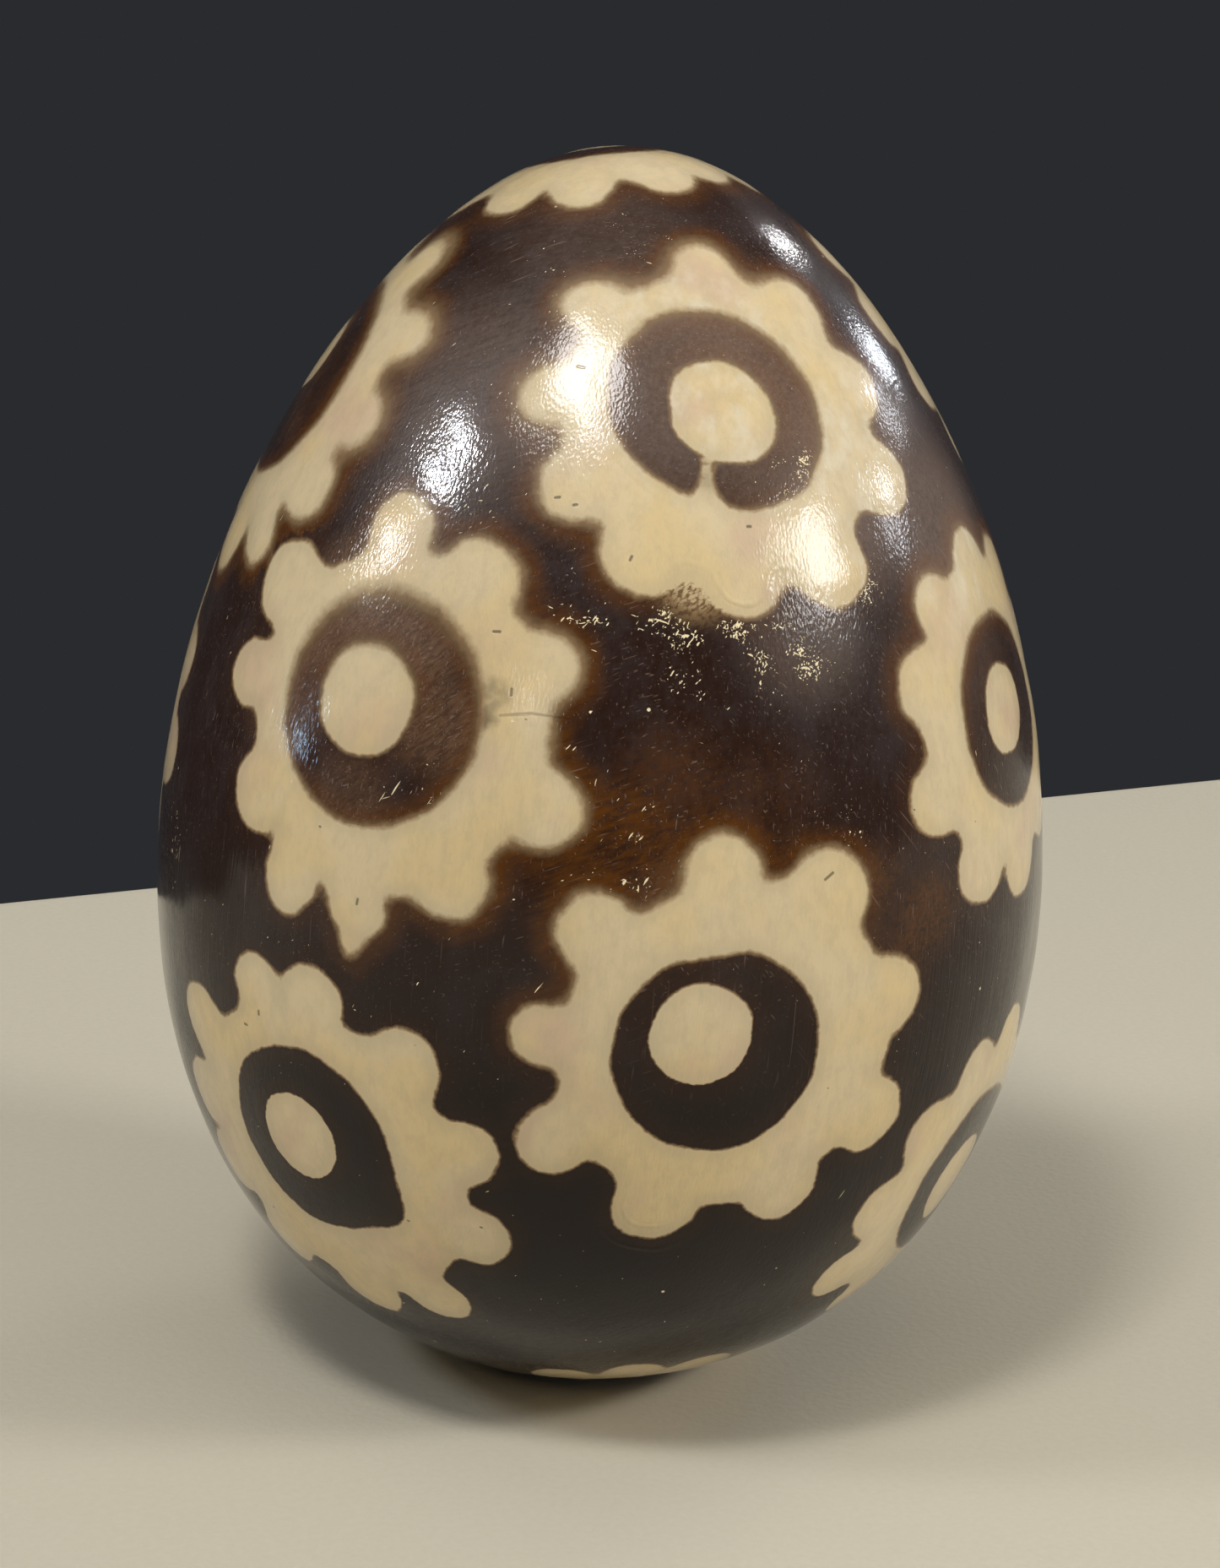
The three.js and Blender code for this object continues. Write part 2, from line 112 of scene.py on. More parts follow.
# The flowers, as in the CAD. at is [azimuth in degrees, height]. hub, ring and dot are [x, y, radius]
# in the flower's own plane, and a petal is [direction in degrees, reach, width]. edge_blur and
# ring_blur are [direction, the most, the least]: how far the dye bled under the wax on that side.
FLOWERS = {
    "upper_front": {
        "at": [18, 73.7], "hub": [0.6, -0.5, 11.1], "ring": [0.3, 0.3, 7], "dot": [0.4, 0.1, 3.8],
        "petals": [[85, 13.1, 5], [49, 13.3, 5.8], [15, 14, 5.4], [343, 15.4, 5.6], [304, 15.4, 6],
                   [273, 13.9, 5.4], [237, 13.7, 5.8], [203, 13.2, 5.4], [166, 13.3, 5.4],
                   [128, 13.3, 5]],
        "oval": [0.055, -35], "dot_cut": [180, 3.1], "fillet": 1.3, "edge_blur": [130, 0.85, 0.25],
        "ring_blur": [60, 0.7, 0.35],
    },
    "upper_left": {
        "at": [-82, 71.5], "hub": [0, 0, 11.2], "ring": [-0.9, 0.3, 7.6], "dot": [-2.9, 1.9, 3],
        "petals": [[74, 14.3, 5.2], [38, 14.2, 5], [5, 13.5, 5.4], [335, 14.1, 5.8],
                   [306, 14.6, 4.8], [277, 14.7, 5.4], [242, 13.6, 5.2], [208, 13.4, 5],
                   [174, 13.6, 5.4], [140, 13.4, 5], [107, 13.6, 5]],
        "edge_blur": [60, 1.1, 0.4], "ring_blur": [60, 0.8, 0.4],
    },
    "middle_left": {
        "at": [-33, 54.7], "hub": [1.8, -1.2, 11.6], "ring": [0.9, -0.6, 7.5], "dot": [0, 0, 3.8],
        "petals": [[92, 14, 5.2], [56, 13.9, 6.4], [21, 15.1, 5.6], [341, 17, 5.8],
                   [308, 16, 5.6], [277, 15.9, 5], [252, 15.9, 4.8], [224, 13.8, 6],
                   [180, 13.6, 4.8], [145, 14.3, 6.2]],
        "drips": [[1.3, -15.9, 0.9], [1.1, -16.7, 0.45]],
        "edge_blur": [15, 0.65, 0.2], "ring_blur": [100, 1.1, 0.4],
    },
    "middle_right": {
        "at": [66, 52.8], "hub": [0, 0, 10.7], "ring": [0.6, -0.2, 6.6], "dot": [0.3, -0.1, 3.2],
        "petals": [[87, 12.8, 5.8], [125, 12.8, 5], [158, 12.7, 5.8], [201, 13.4, 5.6],
                   [239, 14, 5.6], [274, 13.4, 5.6], [311, 13.4, 5.4], [346, 13.6, 5.4],
                   [20, 13.2, 5.2], [53, 13.4, 5.2]],
        "edge_blur": [90, 0.5, 0.2], "ring_blur": [120, 0.5, 0.25],
    },
    "lower_front": {
        "at": [13, 34.9], "hub": [2.3, -1.2, 11.7], "ring": [1.3, -1.4, 7.1], "dot": [0, 0, 3.5],
        "petals": [[84, 13.5, 5.8], [46, 15.5, 6.8], [5, 16.7, 6.2], [330, 17.9, 5.8],
                   [299, 16.5, 5.4], [261, 15.8, 6.2], [221, 14.8, 5], [182, 12.6, 4.4],
                   [136, 12.7, 5.6]],
        "ring_cut": [95, 5.2], "edge_blur": [100, 0.55, 0.12], "ring_blur": [100, 0.3, 0.12],
    },
    "lower_left": {
        "at": [-40, 23.7], "hub": [1.2, -1.6, 11.6], "ring": [0.6, -0.4, 7.1],
        "dot": [-0.2, -0.2, 3.3],
        "petals": [[79, 13.2, 5.6], [107, 13, 4.8], [154, 14.3, 5.6], [38, 14.4, 5.6],
                   [4, 15.5, 5], [334, 16.4, 5.2], [300, 17.4, 4.6], [276, 16.4, 5.4],
                   [243, 15.6, 5], [214, 14.8, 5], [186, 14.4, 5]],
        "ring_tip": [6.4, -4.5, 1], "edge_blur": [100, 0.2, 0.12], "ring_blur": [60, 0.15, 0.1],
    },
    "lower_right": {
        "at": [66, 18.6], "hub": [0, 0, 10.7], "ring": [0.3, 0.1, 6.8], "dot": [-0.2, -0.2, 3.5],
        "petals": [[78, 13.1, 5.6], [111, 12.4, 5.4], [146, 12.5, 5.6], [181, 12.8, 5.6],
                   [214, 14.1, 5.2], [250, 13.6, 5.4], [285, 13.4, 5.2], [320, 13.6, 5.4],
                   [355, 13.4, 5.2], [38, 13.4, 5.6]],
        "edge_blur": [100, 0.2, 0.12], "ring_blur": [90, 0.3, 0.2],
    },
    "top": {
        "at": [-143, 87.4], "hub": [0, 0, 9.6], "ring": [0, 0, 5.2], "dot": [0.2, 0, 2.4],
        "petals": [[14, 12, 5], [45, 12.3, 5], [81, 11.6, 5.4], [109, 10.9, 4.6], [136, 12, 4.8],
                   [166, 11.8, 5], [196, 12, 5], [228, 11.8, 5.2], [262, 12, 5.2], [295, 11.8, 5],
                   [330, 11.8, 5.4]],
        "edge_blur": [90, 0.4, 0.3], "ring_blur": [90, 0.4, 0.3],
    },
    "foot": {
        "at": [40, POLE + 0.005], "hub": [-0.5, 1, 12.7], "ring": [0, 0, 9.8], "dot": [0, 0, 7.2],
        "petals": [[50, 13.9, 5], [18, 13.8, 5], [345, 13.6, 5], [310, 13.4, 5], [275, 13.8, 5.2],
                   [240, 13.6, 5], [207, 13.6, 5], [178, 14, 5], [154, 15, 5], [134, 18.6, 5],
                   [118, 20.2, 4.8], [102, 20.4, 5], [86, 17, 5], [68, 14.6, 5]],
        "edge_blur": [90, 0.2, 0.15], "ring_blur": [90, 0.3, 0.2],
    },
}

# The plainer flowers round the back: name, azimuth, height, petals, reach.
PLAIN_FLOWERS = [
    ["upper_right", 113, 75.2, 11, 12.3],
    ["upper_back", -168, 69.5, 10, 12.4],
    ["middle_side", -99, 47.5, 10, 13],
    ["middle_back_right", 129, 48.5, 10, 13],
    ["middle_back_left", -163, 43.5, 11, 12.8],
    ["lower_back_right", 128, 20.5, 10, 12.8],
    ["lower_back_left", -165, 15.5, 10, 12.6],
    ["lower_side", -103, 18, 10, 12.8],
]

# Spots in a flower's plane: [flower, x, y, radius, amount].
STAINS = [
    ["upper_front", 12.6, -8.6, 1.9, 0.8],
    ["upper_front", -1.2, -4.7, 1.3, 0.4],
    ["middle_left", 8.6, 0.4, 0.9, 0.9],
    ["middle_left", 8.9, 1.9, 1.5, 0.5],
]

# Spots on the egg: [azimuth, height, radius, amount]. The dye is thin and brown, faded, scuffed through
# in flecks (painted brighter than the bare shell, as glints) or rubbed off in streaks; the varnish has a
# second ridge round the petals; and a painted sheen, partly a hazy varnish, greys the dye and whitens the
# cream.
THIN_DYE = [
    [3, 48, 6, 1], [-1, 44.5, 6, 0.9], [9, 51, 6, 0.5], [20, 50, 6, 0.35], [44, 41, 4.5, 0.8],
    [36, 44, 4, 0.5], [8, 42, 4, 0.8], [-52, 67, 4, 0.5], [-75, 71, 6, 0.5], [-30, 71, 4, 0.3],
    [120, 62, 7, 0.8], [-128, 34, 8, 0.8], [-140, 60, 6, 0.5], [160, 33, 7, 0.7], [95, 36, 5, 0.6],
]
FADED_DYE = [
    [-38, 61, 6, 1], [-45, 58, 5, 0.9], [-47, 53, 5, 0.7], [-28, 58, 6, 0.9], [-22, 54, 5, 0.8],
    [-33, 48, 5, 0.5], [24, 79, 6, 0.5], [33, 74, 6, 0.6], [25, 69, 4, 0.4], [10, 43.5, 4.5, 0.6],
    [113, 77, 6, 0.6], [-168, 73, 6, 0.7], [129, 52, 6, 0.5], [-163, 47, 5, 0.6],
]
SCUFFS = [
    [14.7, 59.6, 6, 1], [8, 63.5, 6, 1], [-3, 62, 4.5, 0.8], [25, 58.5, 6, 0.9], [-24, 66, 5, 0.6],
    [38, 62.5, 4, 0.9], [-5, 50, 6, 0.6], [3, 47, 7, 0.6], [30, 47, 6, 0.5], [-30, 33, 5, 0.5],
    [31, 70, 4, 1], [-24, 50, 5, 0.6], [-10, 80, 8, 0.5], [10, 84, 5, 0.6], [-13, 55, 4, 0.7],
    [50, 52, 4, 0.6], [150, 55, 9, 0.7], [-130, 50, 9, 0.6], [-70, 40, 6, 0.5], [100, 66, 6, 0.5],
]
RUBBED = [[12.2, 64, 4.2, 1], [10, 41.8, 2.5, 0.45], [140, 60, 3, 0.7]]
# Painted sheen, partly a hazy varnish: where these spots lie the dye is greyed and the cream whitened.
DULLED_AND_SHEEN = [
    [14, 76, 13, 0.85], [45, 70, 12, 0.9], [62, 65, 10, 0.9], [-10, 83, 10, 0.35], [-28, 74, 12, 0.6],
    [55, 58, 10, 0.3], [28, 60, 6, 0.5], [170, 76, 12, 0.5], [-120, 72, 10, 0.3],
]
RIDGES = [[20, 63.5, 4, 1], [8, 66, 4, 0.7], [2, 70, 4, 0.5], [6, 20, 5, 0.8], [-150, 58, 5, 0.8]]


def plain_flower(azimuth, height, count, reach):
    """A flower with evenly spaced petals of one width and nearly one reach."""
    petals = []
    for i in range(count):
        direction = 360 * i / count + math.fmod(azimuth, 30)
        petals.append([direction, reach + 0.5 * math.sin(2.4 * i + azimuth), 5.2])
    return {
        "at": [azimuth, height], "hub": [0, 0, reach - 2.5], "ring": [0.5, -0.4, 6.8],
        "dot": [0, 0, 3.5], "petals": petals, "edge_blur": [100, 0.45, 0.15],
        "ring_blur": [100, 0.5, 0.2],
    }


for name, *facts in PLAIN_FLOWERS:
    FLOWERS[name] = plain_flower(*facts)


def flower_axes(flower):
    """A flower's centre on the egg, and its own right, up and outward directions."""
    azimuth, height = flower["at"]
    a = np.radians(azimuth)
    radius, z, away, rise = meridian(angle_at_height(height))
    out = on_axis(away, rise, a)
    right = np.cross([0, 0, 1], out)
    right /= np.linalg.norm(right)
    return on_axis(radius, z, a), right, np.cross(out, right), out


def in_flower(points, flower):
    """Points of the skin in a flower's plane: their direction as seen, and their true distance away."""
    centre, right, up, _ = flower_axes(flower)
    offset = points - centre
    x, y = offset @ right, offset @ up
    stretch = np.linalg.norm(offset, axis=1) / np.maximum(np.hypot(x, y), 1e-6)
    return x * stretch, y * stretch


def out_of_flower(flower, x, y):
    """The point of a petal's surface at a place in its flower's plane, near enough."""
    PROUD = 0.05
    centre, right, up, out = flower_axes(flower)
    sag = (x * x + y * y) / (2.2 * BLUNT_RADIUS)
    point = centre + x * right + y * up - sag * out
    radius, z, _, _ = meridian(angle_at_height(point[2]), -PROUD)
    return on_axis(radius, z, np.arctan2(point[0], -point[1]))


def circle(x, y, cx, cy, radius):
    return np.hypot(x - cx, y - cy) - radius


def union(a, b, fillet):
    """The nearer of two signed distances, with a fillet where they meet."""
    blend = np.maximum(fillet - np.abs(a - b), 0) / fillet
    return np.minimum(a, b) - blend**2 * fillet / 4


def half_plane(x, y, direction, distance):
    a = math.radians(direction)
    return x * math.cos(a) + y * math.sin(a) - distance


def petal_distance(flower, x, y):
    """Signed distance to the flower's cream outline, negative inside."""
    fillet = flower.get("fillet", 0.9)
    distance = circle(x, y, *flower["hub"])
    for direction, reach, width in flower["petals"]:
        a = math.radians(direction)
        ux, uy = math.cos(a), math.sin(a)
        along = np.clip(x * ux + y * uy, 0.5 * reach, reach - width / 2)
        lobe = np.hypot(x - along * ux, y - along * uy) - width / 2
        distance = union(distance, lobe, fillet)
    for cx, cy, radius in flower.get("drips", []):
        distance = union(distance, circle(x, y, cx, cy, radius), fillet)
    return distance


def ring_distance(flower, x, y):
    """Signed distance to the flower's dark ring, negative inside it."""
    cx, cy, radius = flower["ring"]
    ovalness, tilt = flower.get("oval", [0, 0])
    turn = np.arctan2(y - cy, x - cx)
    bulge = ovalness * np.cos(2 * (turn - math.radians(tilt)))
    outer = np.hypot(x - cx, y - cy) - radius * (1 + bulge)
    if "ring_tip" in flower:
        outer = union(outer, circle(x, y, *flower["ring_tip"]), 3)
    if "ring_cut" in flower:
        outer = np.maximum(outer, half_plane(x, y, *flower["ring_cut"]))
    dot = circle(x, y, *flower["dot"]) - bulge * flower["dot"][2]
    if "dot_cut" in flower:
        dot = -union(-dot, -half_plane(x, y, *flower["dot_cut"]), 0.8)
    return np.maximum(outer, -dot)


def bridge_distance(x, y):
    """Signed distance to the cream bridge that breaks the upper front flower's ring, negative inside."""
    height = np.clip(-3.9 - y, 0, 3.2)
    middle = -1.2 - 0.15 * height
    return np.abs(x - middle) - (0.42 + 0.15 * height**2) + np.maximum(y + 3.7, 0)


def ripple(points, wavelength, seed):
    """Smooth noise between about -1 and 1."""
    rng = np.random.default_rng(seed)
    total = np.zeros(len(points))
    for _ in range(10):
        wave = rng.normal(size=3)
        wave *= 2 * math.pi / wavelength / np.linalg.norm(wave) * rng.uniform(0.7, 1.4)
        total += np.sin(points @ wave + rng.uniform(0, 2 * math.pi))
    return total / 4


def smooth(value, start, end):
    t = np.clip((value - start) / (end - start), 0, 1)
    return t * t * (3 - 2 * t)


def blur_at(blur, x, y):
    """How far the dye bled on this side of a flower."""
    direction, most, least = blur
    share = 0.5 + 0.5 * np.cos(np.arctan2(y, x) - math.radians(direction))
    return least + (most - least) * share**1.5


def dye_fields(points):
    """For each point: the signed distance into the dye, whose dye it is, and how blurred its edge is.
    The owner is -1 in the ground and the flower's number in a ring."""
    FAR = 24
    ground = np.full(len(points), DEEP)
    dye = np.full(len(points), -DEEP)
    owner = np.full(len(points), -1)
    blur = np.full(len(points), USUAL_BLUR)
    wobble = 0.14 * ripple(points, 4.5, 11) + 0.06 * ripple(points, 1.8, 12)
    for number, flower in enumerate(FLOWERS.values()):
        centre = flower_axes(flower)[0]
        near = np.flatnonzero(np.linalg.norm(points - centre, axis=1) < FAR)
        x, y = in_flower(points[near], flower)
        petal = petal_distance(flower, x, y) + wobble[near]
        ring = ring_distance(flower, x, y) - 0.6 * wobble[near]
        if flower is FLOWERS["upper_front"]:
            ring = -union(-ring, bridge_distance(x, y), 1)
        closer = petal < ground[near]
        ground[near[closer]] = petal[closer]
        edge_blur = blur_at(flower["edge_blur"], x, y)
        outward = np.clip(np.hypot(x, y) / flower["ring"][2], 0.5, 1)
        ring_blur = blur_at(flower["ring_blur"], x, y) * outward
        at_ring = np.abs(ring) < np.abs(petal)
        blur[near[closer]] = np.where(at_ring, ring_blur, edge_blur)[closer]
        better = closer & (-ring > dye[near])
        dye[near[better]] = -ring[better]
        owner[near[better]] = number
    in_ground = ground > dye
    owner[in_ground] = -1
    return np.where(in_ground, ground, dye), owner, blur


def spots(points, table):
    """How much of a table of spots on the egg lies over each point, up to 1."""
    total = np.zeros(len(points))
    for azimuth, height, radius, amount in table:
        a = np.radians(azimuth)
        r, z, _, _ = meridian(angle_at_height(height))
        away = np.linalg.norm(points - on_axis(r, z, a), axis=1)
        total = np.maximum(total, amount * smooth(away, radius, 0.25 * radius))
    return total


def stains(points):
    """How much of the stains lies over each point, up to 1."""
    total = np.zeros(len(points))
    for name, x, y, radius, amount in STAINS:
        px, py = in_flower(points, FLOWERS[name])
        away = np.hypot(px - x, py - y) + 0.25 * ripple(points, 1.5, 5)
        total = np.maximum(total, amount * smooth(away, radius, 0.55 * radius))
    return total


# Rows of points round the egg, and triangles between them.


def row_angles(first_radius, last_radius, step, inset):
    """Angles about a step apart along the meridian, from one radius near the foot to one near the apex."""
    radius, z, _, _ = meridian(ANGLES, inset)
    middle = np.argmax(radius)
    start = np.interp(first_radius, radius[:middle], ANGLES[:middle])
    end = np.interp(-last_radius, -radius[middle:], ANGLES[middle:])
    inside = (ANGLES > start) & (ANGLES < end)
    t = np.concatenate([[start], ANGLES[inside], [end]])
    radius, z, _, _ = meridian(t, inset)
    run = np.concatenate([[0], np.cumsum(np.hypot(np.diff(radius), np.diff(z)))])
    count = round(run[-1] / step) + 1
    return np.interp(np.linspace(0, run[-1], count), run, t)


def rows_of_points(angles, step, inset):
    """Points in rows round the axis, none below the floor, with as many in each as its length needs."""
    points, rows, first = [], [], 0
    for i, t in enumerate(angles):
        radius, z, _, _ = meridian(t, inset)
        count = max(12, round(2 * math.pi * radius / step)) if radius > 0.01 else 1
        shares = (np.arange(count) + 0.5 * (i % 2)) / count
        points.append(on_axis(radius, max(z, 0), 2 * math.pi * shares))
        rows.append((first + np.arange(count), shares))
        first += count
    return np.concatenate(points), rows


def zip_rows(row, next_row):
    """Triangles between two closed rows, facing out where the next row is the higher one."""
    (a, a_at), (b, b_at) = row, next_row
    i = j = 0
    faces = []
    ends_a, ends_b = (len(a) if len(a) > 1 else 0), (len(b) if len(b) > 1 else 0)
    while i < ends_a or j < ends_b:
        step_a = a_at[(i + 1) % len(a)] + (i + 1) // len(a) if i < ends_a else math.inf
        step_b = b_at[(j + 1) % len(b)] + (j + 1) // len(b) if j < ends_b else math.inf
        if step_a <= step_b:
            faces.append((a[i % len(a)], a[(i + 1) % len(a)], b[j % len(b)]))
            i += 1
        else:
            faces.append((a[i % len(a)], b[(j + 1) % len(b)], b[j % len(b)]))
            j += 1
    return faces


def zip_all(rows):
    faces = []
    for row, next_row in zip(rows, rows[1:]):
        faces.extend(zip_rows(row, next_row))
    return np.array(faces)


def cut(points, faces, field):
    """Splits the triangles that the field's zero line crosses. Returns the points, the faces and each
    face's side: True where the field is positive."""
    SNAP = 0.02
    field = np.where(np.abs(field) < SNAP, np.where(field < 0, -SNAP, SNAP), field)
    positive = field > 0
    count = positive[faces].sum(axis=1)
    crossed = (count == 1) | (count == 2)
    kept, kept_side = faces[~crossed], count[~crossed] == 3
    mixed = faces[crossed]
    odd_side = count[crossed] == 1
    odd = np.argmax(positive[mixed] == odd_side[:, None], axis=1)
    rows = np.arange(len(mixed))
    a, b, c = (mixed[rows, (odd + k) % 3] for k in range(3))
    pairs = np.sort(np.concatenate([np.stack([a, b], 1), np.stack([a, c], 1)]), axis=1)
    unique, where = np.unique(pairs, axis=0, return_inverse=True)
    where = where.reshape(-1)
    low, high = field[unique[:, 0]], field[unique[:, 1]]
    share = (low / (low - high))[:, None]
    new = points[unique[:, 0]] * (1 - share) + points[unique[:, 1]] * share
    ab, ac = len(points) + where[: len(mixed)], len(points) + where[len(mixed):]
    faces = np.concatenate([kept, np.stack([a, ab, ac], 1), np.stack([ab, b, c], 1),
                            np.stack([ab, c, ac], 1)])
    side = np.concatenate([kept_side, odd_side, ~odd_side, ~odd_side])
    return np.concatenate([points, new]), faces, side


def point_normals(points, faces):
    corners = points[faces]
    face = np.cross(corners[:, 1] - corners[:, 0], corners[:, 2] - corners[:, 0])
    total = np.zeros_like(points)
    for k in range(3):
        np.add.at(total, faces[:, k], face)
    return total / np.maximum(np.linalg.norm(total, axis=1, keepdims=True), 1e-12)


def open_edges(faces):
    """The directed edges that only one of the faces has."""
    edges = np.concatenate([faces[:, [0, 1]], faces[:, [1, 2]], faces[:, [2, 0]]])
    key = np.sort(edges, axis=1)
    _, index, count = np.unique(key, axis=0, return_index=True, return_counts=True)
    return edges[index[count == 1]]


def shared_edges(edges, faces):
    """Which directed edges have a face of the given ones on their other side."""
    others = np.concatenate([faces[:, [1, 0]], faces[:, [2, 1]], faces[:, [0, 2]]])
    size = int(max(edges.max(), others.max())) + 1
    return np.isin(edges[:, 0] * size + edges[:, 1], others[:, 0] * size + others[:, 1])


def walls(edges, drop):
    """Faces down from directed edges to copies of their points, drop places further on."""
    a, b = edges[:, 0], edges[:, 1]
    return np.concatenate([np.stack([a, a + drop, b + drop], 1), np.stack([a, b + drop, b], 1)])


class Skin:
    """The decorated surface: its points, normals and fields, and its faces by whose they are."""

    def __init__(self):
        angles = row_angles(LOWER_HOLE, UPPER_HOLE, GRAIN, 0)
        cap = np.linspace(angles[-1], math.pi, 4)[1:]
        points, rows = rows_of_points(np.concatenate([angles, cap]), GRAIN, 0)
        self.foot_row, self.apex_row = rows[0], rows[len(angles) - 1]
        apex_start = self.apex_row[0][0]
        faces = zip_all(rows)
        field = dye_fields(points)[0]
        self.points, self.faces, self.dyed = cut(points, faces, field)
        self.capped = self.cap_faces(apex_start, len(points))
        self.edge, self.owner, self.blur = dye_fields(self.points)
        self.edge[len(points):] = 0  # the points that the cut made lie on the dye's edge
        self.shape()

    def cap_faces(self, start, count):
        """Which faces lie over the upper blow hole."""
        old = np.where(self.faces < count, self.faces, start)
        return old.min(axis=1) >= start

    def shape(self):
        """Petals that stand a little proud, and a brushed varnish that isn't quite even."""
        p = self.points
        base = point_normals(p, self.faces)
        azimuth = np.arctan2(p[:, 0], -p[:, 1])
        pillow = 0.035 * smooth(-self.edge, 0, 1.6)
        lumps = 0.05 * ripple(p, 16, 1) + 0.02 * ripple(p, 6, 2)
        brushed = 0.012 * np.sin(23 * azimuth + 2 * ripple(p, 30, 3))
        off_the_foot = smooth(p[:, 2], 0.2, 3)
        self.points = p + base * ((pillow + lumps + brushed) * off_the_foot)[:, None]
        self.normals = point_normals(self.points, self.faces)
        self.fields = {
            "edge": self.edge,
            "blur": self.blur,
            "thin": spots(self.points, THIN_DYE),
            "faded": spots(self.points, FADED_DYE),
            "scuff": spots(self.points, SCUFFS),
            "rubbed": spots(self.points, RUBBED),
            "dulled_and_sheen": spots(self.points, DULLED_AND_SHEEN),
            "ridge": spots(self.points, RIDGES),
            "stain": stains(self.points),
        }

    def owners_of(self, faces):
        """Whose dye each face belongs to: that of its point deepest in the dye."""
        deepest = np.argmax(self.edge[faces], axis=1)
        return self.owner[faces[np.arange(len(faces)), deepest]]


def make_mesh(name, points, faces, normals, fields, material):
    """A mesh object in metres. normals are one per face corner."""
    mesh = bpy.data.meshes.new(name)
    mesh.vertices.add(len(points))
    mesh.vertices.foreach_set("co", (points * MM).astype(np.float32).ravel())
    mesh.loops.add(len(faces) * 3)
    mesh.loops.foreach_set("vertex_index", faces.astype(np.int32).ravel())
    mesh.polygons.add(len(faces))
    mesh.polygons.foreach_set("loop_start", np.arange(0, len(faces) * 3, 3, dtype=np.int32))
    mesh.update(calc_edges=True)
    mesh.normals_split_custom_set(normals.reshape(-1, 3).tolist())
    for key, values in fields.items():
        layer = mesh.attributes.new(key, "FLOAT", "POINT")
        layer.data.foreach_set("value", values.astype(np.float32))
    mesh.materials.append(material)
    obj = bpy.data.objects.new(name, mesh)
    bpy.context.scene.collection.objects.link(obj)
    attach(obj, "root")
    return obj


def corner_normals(points, faces, normals, smooth_faces):
    """A normal for each face corner: the point's on the smooth faces, and the face's own elsewhere."""
    corners = points[faces]
    flat = np.cross(corners[:, 1] - corners[:, 0], corners[:, 2] - corners[:, 0])
    flat /= np.maximum(np.linalg.norm(flat, axis=1, keepdims=True), 1e-12)
    return np.where(smooth_faces[:, None, None], normals[faces], flat[:, None, :])


def compact(points, normals, fields, faces):
    """Drops the points that no face uses."""
    used, renumbered = np.unique(faces, return_inverse=True)
    kept = {key: values[used] for key, values in fields.items()}
    return points[used], normals[used], kept, renumbered.reshape(faces.shape)


def dye_coat(name, skin, top, material):
    """A patch of the dye coat: the skin on top, its underside and its edges."""
    points, normals, fields, top = compact(skin.points, skin.normals, skin.fields, top)
    count = len(points)
    points = np.concatenate([points, points - DYE_THICKNESS * normals])
    normals = np.concatenate([normals, -normals])
    fields = {key: np.concatenate([values, values]) for key, values in fields.items()}
    rim = walls(open_edges(top), count)
    faces = np.concatenate([top, top[:, ::-1] + count, rim])
    smooth_faces = np.arange(len(faces)) < 2 * len(top)
    corner = corner_normals(points, faces, normals, smooth_faces)
    return make_mesh(name, points, faces, corner, fields, material)


def shell_piece(skin, material):
    """The shell: cream in the flowers, lowered under the dye, with its inner wall and its blow holes."""
    CLEARANCE = 0.01
    RECESS = DYE_THICKNESS + CLEARANCE

    # Outside: the cream, the lowered surface under the dye, and the step between them.
    count = len(skin.points)
    cream = skin.faces[~skin.dyed]
    under = skin.faces[skin.dyed & ~skin.capped]
    rim = open_edges(cream)
    step = walls(rim[shared_edges(rim, under)], count)

    # Inside: from the upper hole's rim down the inner wall to the foot's.
    inset = SHELL_INSET + SHELL_THICKNESS
    angles = row_angles(LOWER_HOLE, UPPER_HOLE, INNER_GRAIN, inset)
    inner_points, inner_rows = rows_of_points(angles, INNER_GRAIN, inset)
    inner_rows = [(numbers + 2 * count, shares) for numbers, shares in inner_rows][::-1]
    apex_numbers, apex_shares = skin.apex_row
    rows = [(apex_numbers + count, apex_shares), *inner_rows, skin.foot_row]
    inside = zip_all(rows)

    points = np.concatenate([skin.points, skin.points - RECESS * skin.normals, inner_points])
    outward = np.concatenate([skin.normals, skin.normals, inner_points * 0])
    faces = np.concatenate([cream, under + count, step, inside])

    # Everything but the cream's outside is bare: no dye, no wear.
    fields = {key: np.concatenate([values, values * 0, np.zeros(len(inner_points))])
              for key, values in skin.fields.items()}
    bare = -np.abs(skin.edge)
    fields["edge"] = np.concatenate([skin.edge, bare, np.full(len(inner_points), -DEEP)])
    fields["blur"] = np.concatenate([skin.blur, skin.blur, np.full(len(inner_points), USUAL_BLUR)])

    smooth_faces = np.arange(len(faces)) < len(cream) + len(under)
    corner = corner_normals(points, faces, outward, smooth_faces)
    points, _, fields, faces = compact(points, outward, fields, faces)
    return make_mesh("egg_shell", points, faces, corner, fields, material)


# Materials.


def colour(red, green, blue):
    """A colour given as it looks on a screen, 0 to 255, as the shader wants it."""
    parts = [c / 255 for c in (red, green, blue)]
    return tuple(c / 12.92 if c <= 0.04045 else ((c + 0.055) / 1.055) ** 2.4 for c in parts) + (1.0,)


CREAM = colour(224, 206, 170)
CREAM_WARM = colour(226, 203, 156)
CREAM_PINK = colour(216, 190, 162)
CREAM_GREY = colour(192, 178, 148)
STAIN = colour(112, 96, 76)
TAN = colour(146, 120, 88)
OLIVE = colour(106, 84, 58)
BROWN = colour(94, 55, 12)
FADED = colour(112, 84, 62)
GROUND = colour(44, 26, 19)
GROUND_GREY = colour(52, 40, 38)
# painted shade for the ground low on the egg
GROUND_SHADED_LOW = colour(27, 19, 16)
